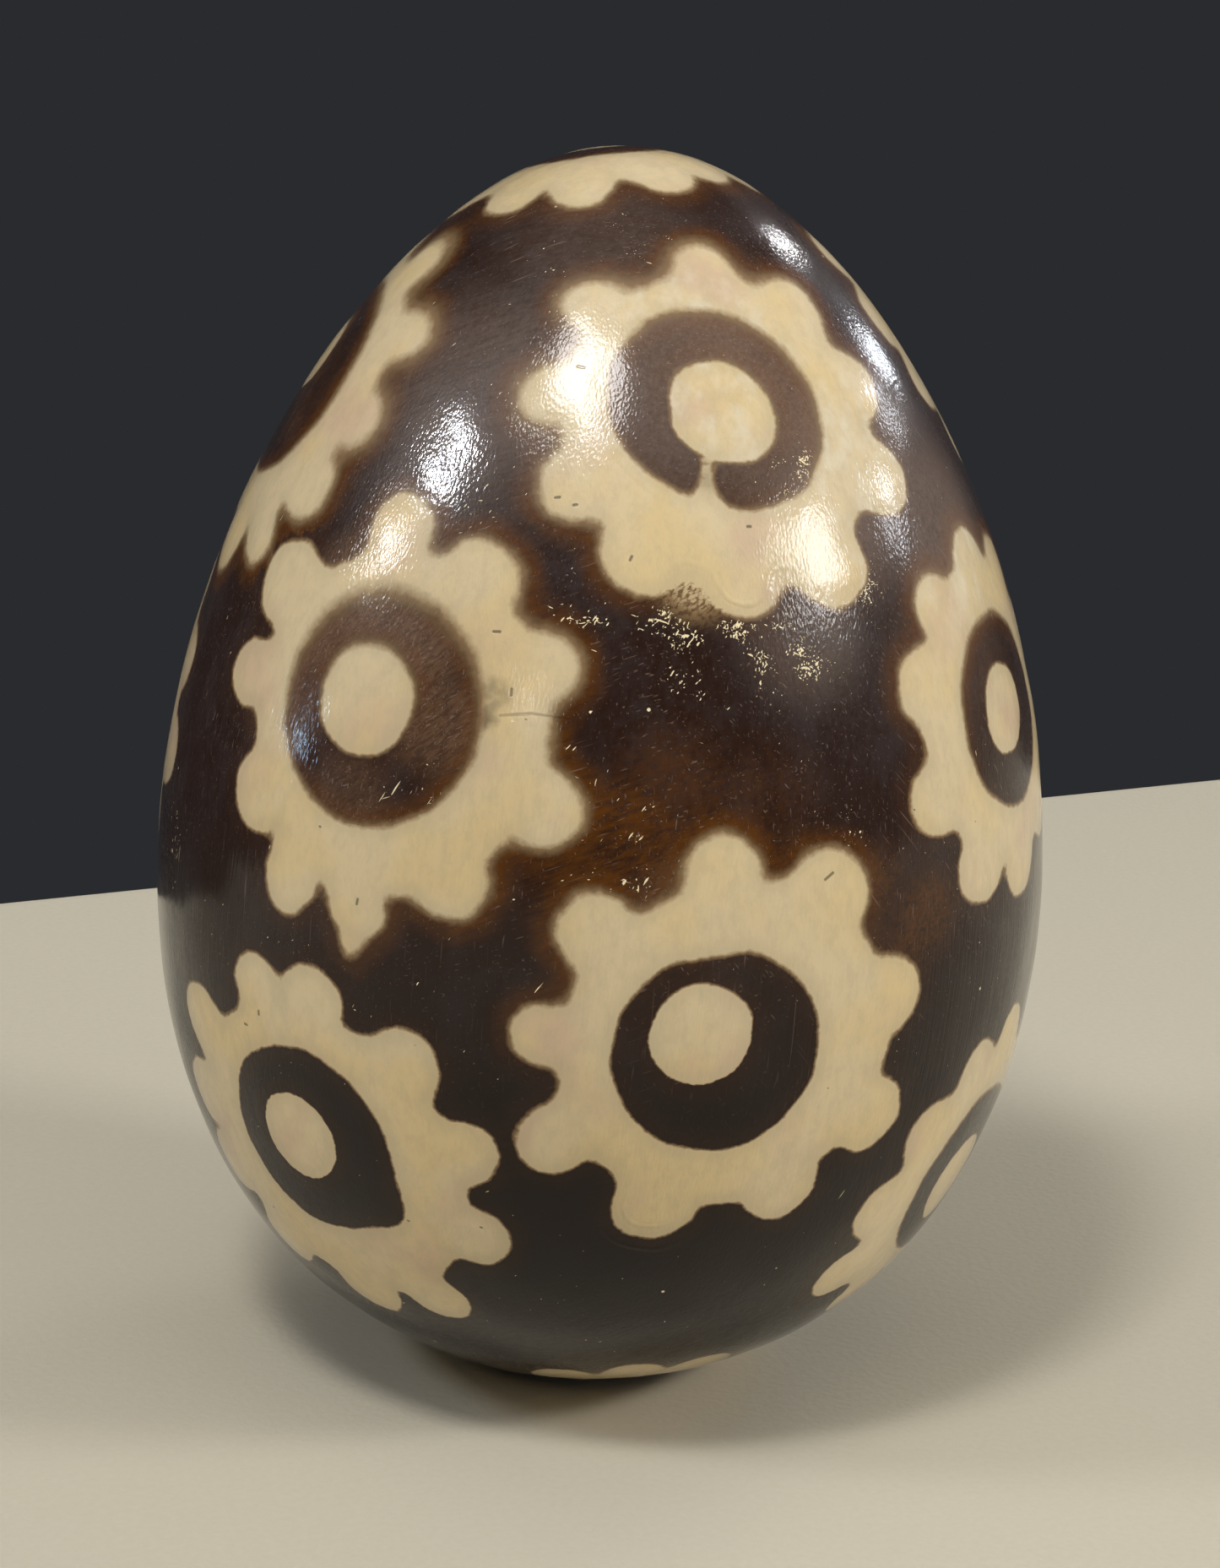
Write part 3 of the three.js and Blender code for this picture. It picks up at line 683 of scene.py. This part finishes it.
# scuffed flecks, painted as glints brighter than the bare shell
BARE_AND_GLINT = colour(255, 240, 200)
PORE = colour(34, 24, 18)
# the pale scratches, and a painted sheen, partly a hazy varnish, that greys the dye
VEIL_AND_SHEEN = colour(144, 124, 112)
# a painted sheen on the cream, partly a hazy varnish
MILKY_AND_SHEEN = colour(236, 228, 210)


class Graph:
    """A material's nodes, made by short calls."""

    def __init__(self, name):
        self.material = bpy.data.materials.new(name)
        self.material.use_nodes = True
        self.tree = self.material.node_tree
        self.shader = self.tree.nodes["Principled BSDF"]
        self.where = self.node("ShaderNodeTexCoord").outputs["Object"]

    def node(self, kind, **settings):
        made = self.tree.nodes.new(kind)
        for key, value in settings.items():
            setattr(made, key, value)
        return made

    def put(self, socket, value):
        """Links a socket to another, or sets its value."""
        if isinstance(value, bpy.types.NodeSocket):
            self.tree.links.new(value, socket)
        else:
            socket.default_value = value

    def math(self, operation, a, b=0.0, c=0.0, clamp=False):
        made = self.node("ShaderNodeMath", operation=operation, use_clamp=clamp)
        for socket, value in zip(made.inputs, (a, b, c)):
            self.put(socket, value)
        return made.outputs[0]

    def vector(self, operation, a, b=(0.0, 0.0, 0.0), scale=None):
        made = self.node("ShaderNodeVectorMath", operation=operation)
        self.put(made.inputs[0], a)
        if scale is None:
            self.put(made.inputs[1], b)
        else:
            self.put(made.inputs["Scale"], scale)
        return made.outputs["Value" if operation in ("LENGTH", "DOT_PRODUCT") else "Vector"]

    def field(self, name):
        """One of the skin's fields."""
        return self.node("ShaderNodeAttribute", attribute_name=name).outputs["Fac"]

    def stretched(self, sizes, turn=(0, 0, 0)):
        """Places counted in features of these sizes in millimetres, along axes turned by these degrees."""
        made = self.node("ShaderNodeMapping", vector_type="TEXTURE")
        self.put(made.inputs["Vector"], self.where)
        self.put(made.inputs["Rotation"], [math.radians(angle) for angle in turn])
        self.put(made.inputs["Scale"], [size * MM for size in sizes])
        return made.outputs["Vector"]

    def noise(self, sizes, turn=(0, 0, 0), detail=2.0, rough=0.5):
        made = self.node("ShaderNodeTexNoise")
        self.put(made.inputs["Vector"], self.stretched(sizes, turn))
        self.put(made.inputs["Scale"], 1.0)
        self.put(made.inputs["Detail"], detail)
        self.put(made.inputs["Roughness"], rough)
        return made.outputs["Fac"]

    def grade(self, value, start, end, low=0.0, high=1.0, kind="SMOOTHSTEP"):
        """Carries a value from low at start to high at end."""
        made = self.node("ShaderNodeMapRange", interpolation_type=kind)
        for key, number in (("Value", value), ("From Min", start), ("From Max", end),
                            ("To Min", low), ("To Max", high)):
            self.put(made.inputs[key], number)
        return made.outputs["Result"]

    def mix(self, share, a, b):
        COLOUR_A, COLOUR_B, COLOUR_OUT = 6, 7, 2
        made = self.node("ShaderNodeMix", data_type="RGBA")
        self.put(made.inputs["Factor"], share)
        self.put(made.inputs[COLOUR_A], a)
        self.put(made.inputs[COLOUR_B], b)
        return made.outputs[COLOUR_OUT]

    def grains(self, sizes, turn, share, size):
        """Scattered grains: 1 inside them. share is how many of the cells hold one."""
        made = self.node("ShaderNodeTexVoronoi")
        self.put(made.inputs["Vector"], self.stretched(sizes, turn))
        self.put(made.inputs["Scale"], 1.0)
        present = self.math("LESS_THAN", self.channel(made.outputs["Color"]), share)
        inside = self.grade(made.outputs["Distance"], size, 0.5 * size)
        return self.math("MULTIPLY", inside, present)

    def channel(self, socket):
        """The red channel of a colour."""
        made = self.node("ShaderNodeSeparateColor")
        self.put(made.inputs[0], socket)
        return made.outputs[0]

    def near_segment(self, start, end, width):
        """1 along a thin straight line between two places in millimetres."""
        start, end = Vector(start) * MM, Vector(end) * MM
        span = end - start
        offset = self.vector("SUBTRACT", self.where, start)
        along = self.math("DIVIDE", self.vector("DOT_PRODUCT", offset, span), span.length_squared, clamp=True)
        foot = self.vector("SCALE", tuple(span), scale=along)
        away = self.vector("LENGTH", self.vector("SUBTRACT", offset, foot))
        return self.grade(away, width * MM, 0.4 * width * MM)

    def bump(self, height, depth, normal=None):
        """A normal tilted by a height, which stands for depth millimetres at 1."""
        made = self.node("ShaderNodeBump")
        self.put(made.inputs["Height"], height)
        self.put(made.inputs["Distance"], depth * MM)
        self.put(made.inputs["Strength"], 1.0)
        if normal is not None:
            self.put(made.inputs["Normal"], normal)
        return made.outputs["Normal"]


# Short dark pores in the cream: [flower, x, y, length, direction], and one hairline crack.
PORES = [
    ["middle_left", 8.1, 6, 0.5, 10], ["middle_left", 10, 2.3, 0.55, 100],
    ["lower_front", 8.3, 10, 0.8, 35], ["lower_front", 4.5, 12.7, 0.3, 0],
    ["upper_front", -8.5, 3.7, 0.5, 160], ["upper_front", -11, -5, 0.35, 0],
    ["upper_front", -9.9, -5.6, 0.25, 0], ["upper_front", -6.6, -9.2, 0.3, 60],
    ["upper_front", 1.2, -7.6, 0.25, 0], ["lower_left", -4.4, 6.9, 0.3, 0],
    ["lower_left", -2.9, 8.2, 0.3, 90], ["middle_left", 1.6, -12.8, 0.4, 80],
]
CRACK = [["middle_left", 9.6, 0.7], ["middle_left", 11.6, 1.2], ["middle_left", 14.2, 1.3]]


def cream_colour(g):
    """Cream in warmer and pinker patches, with a fine greyish mottle, greyer near the dye, whitened in
    streaks by a painted sheen that is partly a hazy varnish, and the old stains.
    """
    cream = g.mix(g.grade(g.noise((9, 9, 9), detail=3.0), 0.42, 0.62), CREAM, CREAM_WARM)
    cream = g.mix(g.grade(g.noise((7, 7, 11), (20, 30, 0), 3.0), 0.5, 0.72), cream, CREAM_PINK)
    mottle = g.grade(g.noise((0.9, 0.9, 1.6), detail=5.0, rough=0.7), 0.38, 0.72, 0.0, 0.34)
    cream = g.mix(mottle, cream, CREAM_GREY)
    upright = g.grade(g.noise((0.3, 0.3, 4), (0, 6, 0), 3.0), 0.45, 0.75, 0.0, 0.14)
    cream = g.mix(upright, cream, CREAM_PINK)
    near_dye = g.grade(g.field("edge"), -1.6, 0.0, 0.0, 0.45)
    cream = g.mix(near_dye, cream, CREAM_GREY)
    # Painted sheen, partly a hazy varnish: the cream whitened in streaks under the sheen spots.
    milky_and_sheen = g.grade(g.noise((1.6, 1.6, 4), (0, 12, 0), 4.0, 0.6), 0.4, 0.7, 0.0, 0.6)
    cream = g.mix(g.math("MULTIPLY", milky_and_sheen, g.field("dulled_and_sheen")), cream, MILKY_AND_SHEEN)
    cloudy = g.grade(g.noise((0.8, 0.8, 0.8), detail=4.0), 0.3, 0.6, 0.35, 0.9)
    return g.mix(g.math("MULTIPLY", g.field("stain"), cloudy), cream, STAIN)


def streaks(g):
    """Fine brushed streaks in two directions."""
    slanting = g.noise((0.3, 0.3, 4), (15, 62, 0), 4.0, 0.65)
    upright = g.noise((0.35, 0.35, 6), (0, 8, 0), 4.0, 0.6)
    return g.math("MULTIPLY_ADD", slanting, 0.55, g.math("MULTIPLY", upright, 0.45))


def dye_colour(g, depth, blur, brushed):
    """Near-black dye in soft clouds and faint streaks, darker towards the bottom with painted shade, brown
    where it is thin, faded, or near its edge.
    """
    cloud = g.noise((4, 4, 5), detail=4.0, rough=0.6)
    shade = g.math("MULTIPLY_ADD", cloud, 0.7, g.math("MULTIPLY", brushed, 0.4))
    ground = g.mix(g.grade(shade, 0.46, 0.68), GROUND, GROUND_GREY)
    # Painted shade: the ground darkens towards the bottom, fully below 22 mm, and the pale scratches fade out
    # with it.
    height = g.vector("DOT_PRODUCT", g.where, (0.0, 0.0, 1.0))
    higher_up = g.grade(height, 22 * MM, 50 * MM)
    ground = g.mix(higher_up, GROUND_SHADED_LOW, ground)
    hairs = g.noise((0.12, 0.12, 7), (0, 68, 0), 0.0)
    for sizes, turn in [((0.12, 0.12, 5), (20, -35, 0)), ((0.12, 0.12, 9), (0, 2, 0))]:
        hairs = g.math("MAXIMUM", hairs, g.noise(sizes, turn, 0.0))
    hairs = g.math("MULTIPLY_ADD", g.field("faded"), 0.05, hairs)
    strokes = g.noise((0.35, 0.35, 4), (10, 66, 0), 4.0, 0.7)
    brown = g.math("MULTIPLY_ADD", cloud, 0.45, g.math("MULTIPLY", strokes, 0.8))
    ground = g.mix(g.math("MULTIPLY", g.field("thin"), g.grade(brown, 0.42, 0.82)), ground, BROWN)
    fringe = g.math("MULTIPLY", g.grade(depth, 2.0, 0.1), g.grade(blur, 0.2, 0.5, 0.1, 1.0))
    fringe = g.math("MULTIPLY", fringe, g.grade(brown, 0.41, 0.71, 0.35, 1.0))
    ground = g.mix(fringe, ground, BROWN)
    grainy = g.grade(g.noise((0.2, 0.2, 0.9), (0, 50, 0), 3.0, 0.6), 0.36, 0.66, 0.45, 1.0)
    ground = g.mix(g.math("MULTIPLY", g.field("faded"), grainy), ground, FADED)
    return g.mix(g.math("MULTIPLY", g.grade(hairs, 0.73, 0.9, 0.0, 0.5), higher_up), ground, VEIL_AND_SHEEN)


def over(g, amount, limit, texture):
    """1 where a texture tops a limit that falls as the amount grows."""
    return g.grade(g.math("MULTIPLY_ADD", amount, 0.25, texture), limit, limit + 0.03)


def worn_through_and_glints(g):
    """Flecks, scratches and a few round specks where the dye is gone, painted as glints brighter than the
    bare shell.
    """
    clusters = g.grade(g.noise((2.6, 2.6, 2.0), detail=2.0), 0.42, 0.66)
    amount = g.math("MULTIPLY", clusters, g.field("scuff"))
    worn_and_glint = over(g, amount, 1.01, g.noise((0.25, 0.25, 0.6), (0, 50, 0), 1.0))
    for sizes, turn, limit in [((0.14, 0.14, 2.4), (0, 32, 0), 0.88), ((0.14, 0.14, 2.4), (25, 65, 0), 0.91),
                               ((0.14, 0.14, 1.3), (60, 0, 20), 0.97), ((0.14, 0.14, 2.4), (0, -72, 0), 0.92),
                               ((0.14, 0.14, 2.4), (0, 2, 0), 0.93)]:
        worn_and_glint = g.math("MAXIMUM", worn_and_glint, over(g, amount, limit, g.noise(sizes, turn, 0.0)))
    return g.math("MAXIMUM", worn_and_glint, g.grains((2.6, 2.6, 2.6), (0, 0, 0), 0.16, 0.06))


def dark_marks(g, dye):
    """The cream's pores and its crack."""
    dark = g.grains((2.2, 2.2, 1.2), (0, 20, 40), 0.05, 0.08)
    dark = g.math("MULTIPLY", dark, g.grade(dye, 0.1, 0.0))
    for flower, x, y, length, direction in PORES:
        a = math.radians(direction)
        half = (0.4 * length * math.cos(a), 0.4 * length * math.sin(a))
        ends = [out_of_flower(FLOWERS[flower], x + k * half[0], y + k * half[1]) for k in (-1, 1)]
        dark = g.math("MAXIMUM", dark, g.near_segment(*ends, 0.14))
    crack = [out_of_flower(FLOWERS[flower], x, y) for flower, x, y in CRACK]
    for start, end in zip(crack, crack[1:]):
        dark = g.math("MAXIMUM", dark, g.math("MULTIPLY", g.near_segment(start, end, 0.15), 0.5))
    return dark


def varnished(name):
    """Dye over shell under a thick brushed gloss varnish, by the skin's own fields."""
    g = Graph(name)
    edge, blur = g.field("edge"), g.field("blur")

    # The dye's edge, a little ragged, and blurred where the dye bled under the wax.
    ragged = g.math("SUBTRACT", g.noise((0.55, 0.55, 0.55), detail=3.0, rough=0.6), 0.5)
    depth = g.math("ADD", edge, g.math("MULTIPLY", ragged, g.math("MULTIPLY_ADD", blur, 0.35, 0.25)))
    dye = g.grade(depth, g.math("MULTIPLY", blur, -1.0), blur, kind="LINEAR")
    torn = g.grade(g.noise((0.22, 0.22, 2.2), (10, 50, 0), 3.0), 0.34, 0.58, 0.42, 0.92)
    dye = g.math("SUBTRACT", dye, g.math("MULTIPLY", torn, g.field("rubbed")), clamp=True)

    brushed = streaks(g)
    base = g.mix(g.grade(dye, 0.0, 0.42, kind="LINEAR"), cream_colour(g), TAN)
    base = g.mix(g.grade(dye, 0.3, 0.7, kind="LINEAR"), base, OLIVE)
    base = g.mix(g.grade(dye, 0.55, 1.0), base, dye_colour(g, depth, blur, brushed))
    # Painted sheen, partly a hazy varnish, greys the dye in streaks.
    veil_and_sheen = g.math("MULTIPLY", g.field("dulled_and_sheen"), g.grade(brushed, 0.3, 0.7, 0.35, 0.6))
    base = g.mix(g.math("MULTIPLY", veil_and_sheen, g.grade(dye, 0.2, 0.7)), base, VEIL_AND_SHEEN)
    # Scuffed flecks and scratches, painted as glints brighter than the bare shell.
    worn_and_glint = g.math("MULTIPLY", worn_through_and_glints(g), g.grade(dye, 0.4, 0.9))
    base = g.mix(worn_and_glint, base, BARE_AND_GLINT)
    dark = dark_marks(g, dye)
    base = g.mix(g.math("MULTIPLY", dark, 0.65), base, PORE)
    g.put(g.shader.inputs["Base Color"], base)
    g.put(g.shader.inputs["Roughness"], g.grade(brushed, 0.3, 0.7, 0.3, 0.5))
    g.put(g.shader.inputs["Specular IOR Level"], 0.08)
    g.put(g.shader.inputs["Coat Weight"], 1.0)
    g.put(g.shader.inputs["Coat Roughness"], 0.1)
    g.put(g.shader.inputs["Coat IOR"], 1.27)

    # The varnish's brush marks and its ridges, and the nicks in it.
    brush = g.noise((0.17, 0.17, 9), (0, 4, 0), 1.0)
    rolling = g.noise((2.2, 2.2, 7), detail=3.0)
    away = g.math("ABSOLUTE", g.math("SUBTRACT", g.math("ABSOLUTE", edge), 0.95))
    ridge = g.math("MULTIPLY", g.field("ridge"), g.grade(away, 0.3, 0.0))
    height = g.math("MULTIPLY_ADD", rolling, 0.4, g.math("MULTIPLY", brush, 0.18))
    height = g.math("MULTIPLY_ADD", ridge, 0.4, height)
    normal = g.bump(height, 0.1)
    normal = g.bump(g.math("MAXIMUM", worn_and_glint, dark), -0.03, normal)
    g.put(g.shader.inputs["Normal"], normal)
    g.put(g.shader.inputs["Coat Normal"], normal)
    return g.material


def hidden_material(name, light, dark, size, roughness):
    """A plain mottled material for what lies inside the shell."""
    g = Graph(name)
    mottle = g.noise((size, size, size), detail=5.0, rough=0.6)
    g.put(g.shader.inputs["Base Color"], g.mix(g.grade(mottle, 0.35, 0.65), dark, light))
    g.put(g.shader.inputs["Roughness"], g.grade(mottle, 0.3, 0.7, roughness, roughness + 0.15))
    g.put(g.shader.inputs["Normal"], g.bump(mottle, 0.1))
    return g.material


# The camera, floor and lights.


def make_camera():
    """Looks a little down on the egg from the front, and leans slightly to one side."""
    PITCH, YAW, ROLL = 0.2838, 0.0016, 0.0469
    PLACE = (0, -0.2884, 0.1267)
    LENS_MM, SENSOR_MM = 96.44, 36
    forward = Vector((math.sin(YAW) * math.cos(PITCH), math.cos(YAW) * math.cos(PITCH), -math.sin(PITCH)))
    level = Vector((math.cos(YAW), -math.sin(YAW), 0))
    above = level.cross(forward)
    right = math.cos(ROLL) * level + math.sin(ROLL) * above
    up = math.cos(ROLL) * above - math.sin(ROLL) * level
    data = bpy.data.cameras.new("camera")
    data.lens = LENS_MM
    data.sensor_width = SENSOR_MM
    data.clip_start = 0.01
    camera = bpy.data.objects.new("camera", data)
    bpy.context.scene.collection.objects.link(camera)
    matrix = camera.matrix_world.copy()
    for row in range(3):
        matrix[row][0], matrix[row][1], matrix[row][2] = right[row], up[row], -forward[row]
        matrix[row][3] = PLACE[row]
    camera.matrix_world = matrix
    bpy.context.scene.camera = camera


def make_floor():
    """A pale table top with a rounded far edge, close behind the egg and turned a little."""
    BACK, FRONT, SIDE, THICK, ROUND, TURN = 0.1142, -1.2, 1.2, 0.03, 0.004, 26.9
    ROUND_STEPS = 6
    outline = [(FRONT, 0), (BACK - ROUND, 0)]
    for i in range(1, ROUND_STEPS + 1):
        a = math.pi / 2 * i / ROUND_STEPS
        outline.append((BACK - ROUND + ROUND * math.sin(a), ROUND * math.cos(a) - ROUND))
    outline += [(BACK, -THICK), (FRONT, -THICK)]
    points = [(x, y, z) for x in (-SIDE, SIDE) for y, z in outline]
    n = len(outline)
    faces = [(i, (i + 1) % n, (i + 1) % n + n, i + n) for i in range(n)]
    mesh = bpy.data.meshes.new("floor")
    mesh.from_pydata(points, [], faces + [tuple(range(n))[::-1], tuple(range(n, 2 * n))])
    g = Graph("pale_cloth")
    weave = g.noise((0.6, 0.6, 0.6), detail=4.0)
    g.put(g.shader.inputs["Base Color"], g.mix(weave, colour(198, 192, 174), colour(206, 200, 184)))
    g.put(g.shader.inputs["Roughness"], 0.85)
    g.put(g.shader.inputs["Normal"], g.bump(weave, 0.05))
    mesh.materials.append(g.material)
    floor = bpy.data.objects.new("floor", mesh)
    floor.rotation_euler.z = math.radians(TURN)
    bpy.context.scene.collection.objects.link(floor)


def make_light(name, azimuth, elevation, distance, size, radiance, tint=(1, 1, 1), use="both"):
    """A soft box that faces the egg's middle. azimuth is from the front towards +X. use says whether it
    lights the surfaces, only shows in their gloss, or both."""
    AIM_SHARE = 0.62  # of the egg's height
    a, e = math.radians(azimuth), math.radians(elevation)
    middle = Vector((0, 0, CAD_BOX[1].z * AIM_SHARE))
    away = Vector((math.sin(a) * math.cos(e), -math.cos(a) * math.cos(e), math.sin(e)))
    data = bpy.data.lights.new(name, "AREA")
    data.shape = "RECTANGLE"
    data.size, data.size_y = size
    data.energy = radiance * math.pi * size[0] * size[1]
    data.color = tint
    light = bpy.data.objects.new(name, data)
    light.location = middle + away * distance
    light.rotation_euler = away.to_track_quat("Z", "Y").to_euler()
    light.visible_diffuse = use != "gloss"
    light.visible_glossy = use != "light"
    bpy.context.scene.collection.objects.link(light)


def make_lights():
    WARM, COOL, BLUE = (1, 0.965, 0.9), (0.88, 0.93, 1), (0.5, 0.75, 1)
    make_light("key", -25, 57, 0.75, (0.12, 0.12), 51, WARM, "light")
    make_light("window", -26, 60, 0.7, (0.26, 0.17), 42, use="gloss")
    make_light("left_key", -70, 38, 0.75, (0.15, 0.15), 18, WARM, "light")
    make_light("left_lamp", -70, 38, 0.7, (0.085, 0.06), 220, COOL, "gloss")
    make_light("left_low", -77, 25, 0.7, (0.11, 0.09), 46, use="gloss")
    make_light("right_key", 77, 26, 0.8, (0.17, 0.1), 50, WARM, "light")
    make_light("right_box", 68, 28, 0.8, (0.23, 0.16), 31, use="gloss")
    make_light("right_far", 104, 22, 0.8, (0.09, 0.07), 34, COOL, "gloss")
    make_light("right_strip", 123, 22, 0.8, (0.03, 0.07), 44, COOL, "gloss")
    make_light("right_edge", 138, 18.5, 0.8, (0.03, 0.08), 70, COOL, "gloss")
    make_light("back_spot", 144, 31, 0.8, (0.03, 0.03), 170, use="gloss")
    make_light("left_glint", -86, 3.4, 0.8, (0.03, 0.06), 60, BLUE, "gloss")
    make_light("front_glint", -21, 18, 0.9, (0.05, 0.05), 20, use="gloss")
    make_light("fill", 55, 22, 0.9, (0.5, 0.4), 1.0, WARM, "light")
    make_light("back_fill", 140, 28, 0.9, (0.3, 0.3), 4.4, WARM, "light")
    make_light("overhead", 10, 80, 1.1, (1.4, 1.4), 0.52, WARM, "light")
    world = bpy.data.worlds.new("room")
    world.use_nodes = True
    background = world.node_tree.nodes["Background"]
    background.inputs["Color"].default_value = (0.0232, 0.0242, 0.0273, 1)
    background.inputs["Strength"].default_value = 1.0
    bpy.context.scene.world = world


make_camera()
make_floor()
make_lights()

skin = Skin()
shell_finish = varnished("varnished_shell")
dye_finish = varnished("varnished_dye")
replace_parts(shell_piece(skin, shell_finish), "shell")
dyed_faces = skin.faces[skin.dyed]
owners = skin.owners_of(dyed_faces)
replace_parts(dye_coat("dye_coat_ground", skin, dyed_faces[owners < 0], dye_finish), "dye_ground")
for number, name in enumerate(FLOWERS):
    piece = dye_coat("dye_coat_" + name, skin, dyed_faces[owners == number], dye_finish)
    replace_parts(piece, "dye_ring_" + name)

INSIDE = {
    "shell_membrane": hidden_material("membrane", colour(240, 234, 220), colour(226, 214, 190), 4, 0.6),
    "ballast": hidden_material("plaster", colour(226, 222, 212), colour(200, 194, 182), 1.5, 0.85),
    "lower_plug": hidden_material("wax", colour(214, 176, 96), colour(190, 146, 66), 1, 0.35),
}
INSIDE["upper_plug"] = INSIDE["lower_plug"]
for node, material in INSIDE.items():
    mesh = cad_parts[node].data
    mesh.materials.clear()
    mesh.materials.append(material)

bpy.context.scene.view_settings.view_transform = "Standard"
